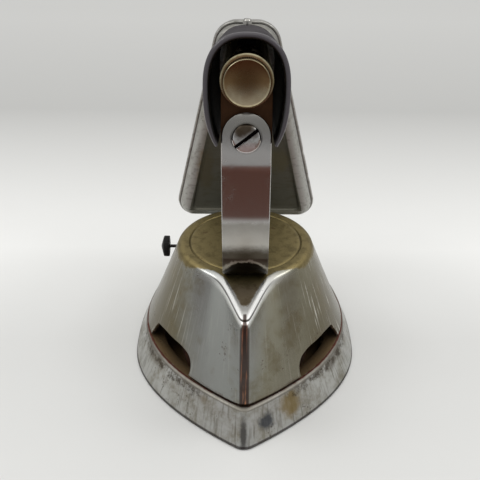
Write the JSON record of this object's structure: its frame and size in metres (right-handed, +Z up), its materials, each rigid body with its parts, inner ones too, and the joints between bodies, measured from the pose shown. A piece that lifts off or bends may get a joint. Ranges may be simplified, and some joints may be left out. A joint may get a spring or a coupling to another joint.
{
  "type": "gasoline iron",
  "caption": "Self-heating flat iron: boat-shaped sole, pressed cowl over a burner, strap, grip with an air pump inside, upright tank with a filler.",
  "frame": {"origin": "on the ironing face, on the centreline, halfway between nose and tail", "axes": "+Z up, away from the ironing face; -Y towards the nose, +Y towards the tank; +X to the side without the valve knob"},
  "size_m": [0.1056, 0.1761, 0.1701],
  "materials": {
    "sole_plating": "worn nickel plating, pitted and stained",
    "burner_iron": "burnt and sooty",
    "screw_steel": "dull, a little rusty",
    "valve_brass": "tarnished",
    "knob_black": "dark and dulled by heat",
    "shield_steel": "heat-blued",
    "pad_board": "pressed fibre board",
    "cowl_plating": "warm patina over nickel",
    "strap_plating": "polished, lightly worn",
    "saddle_brown": "brown moulding",
    "grip_dark": "dark grey-violet moulding",
    "barrel_brass": "drawn tube, dull",
    "cap_nickel": "worn nickel over brass, bronze tone",
    "cup_leather": "oiled leather",
    "tank_plating": "tarnished nickel, olive reflections",
    "gasket_dark": "dark washer"
  },
  "bodies": {
    "iron": {"soleplate": "sole_plating", "burner_ring": "burner_iron", "burner_screws": "screw_steel", "mixing_tube": "valve_brass", "gas_jet": "valve_brass", "jet_block": "valve_brass", "generator_tube": "valve_brass", "valve_body": "valve_brass", "packing_nut": "valve_brass", "fuel_pipe": "valve_brass", "union_nut": "valve_brass", "clamp_studs": "screw_steel", "spacer_sleeves": "screw_steel", "heat_shield": "shield_steel", "insulating_pad": "pad_board", "cowl": "cowl_plating", "clamp_nuts": "screw_steel", "front_strap": "strap_plating", "rear_bracket": "strap_plating", "handle_saddle": "saddle_brown", "strap_screw": "strap_plating", "handle_shell": "grip_dark", "handle_lug": "screw_steel", "handle_rear_screw": "strap_plating", "pump_barrel": "barrel_brass", "barrel_guide": "barrel_brass", "check_valve": "valve_brass", "tank_front": "tank_plating", "tank_rear": "tank_plating", "tank_seam_band": "tank_plating", "filler_neck": "valve_brass", "filler_gasket": "gasket_dark"},
    "pump": {"pump_rod": "screw_steel", "pump_knob": "cap_nickel", "pump_cup": "cup_leather", "cup_retainer": "valve_brass"},
    "valve": {"valve_stem": "screw_steel", "valve_knob": "knob_black"},
    "cap": {"filler_cap": "strap_plating"}
  },
  "joints": [
    {"name": "pump_slide", "type": "slide", "parent": "iron", "child": "pump", "axis": [0, -0.9613, 0.2756], "range_m": [0, 0.05]},
    {"name": "valve_turn", "type": "hinge", "parent": "iron", "child": "valve", "pos_m": [0, 0.016, 0.0368], "axis": [-1, 0, 0], "range_deg": [0, 270]},
    {"name": "filler_cap_turn", "type": "hinge", "parent": "iron", "child": "cap", "pos_m": [0, 0.05793, 0.1073], "axis": [0, 0.9925, -0.1219], "range_deg": [0, 720]}
  ]
}
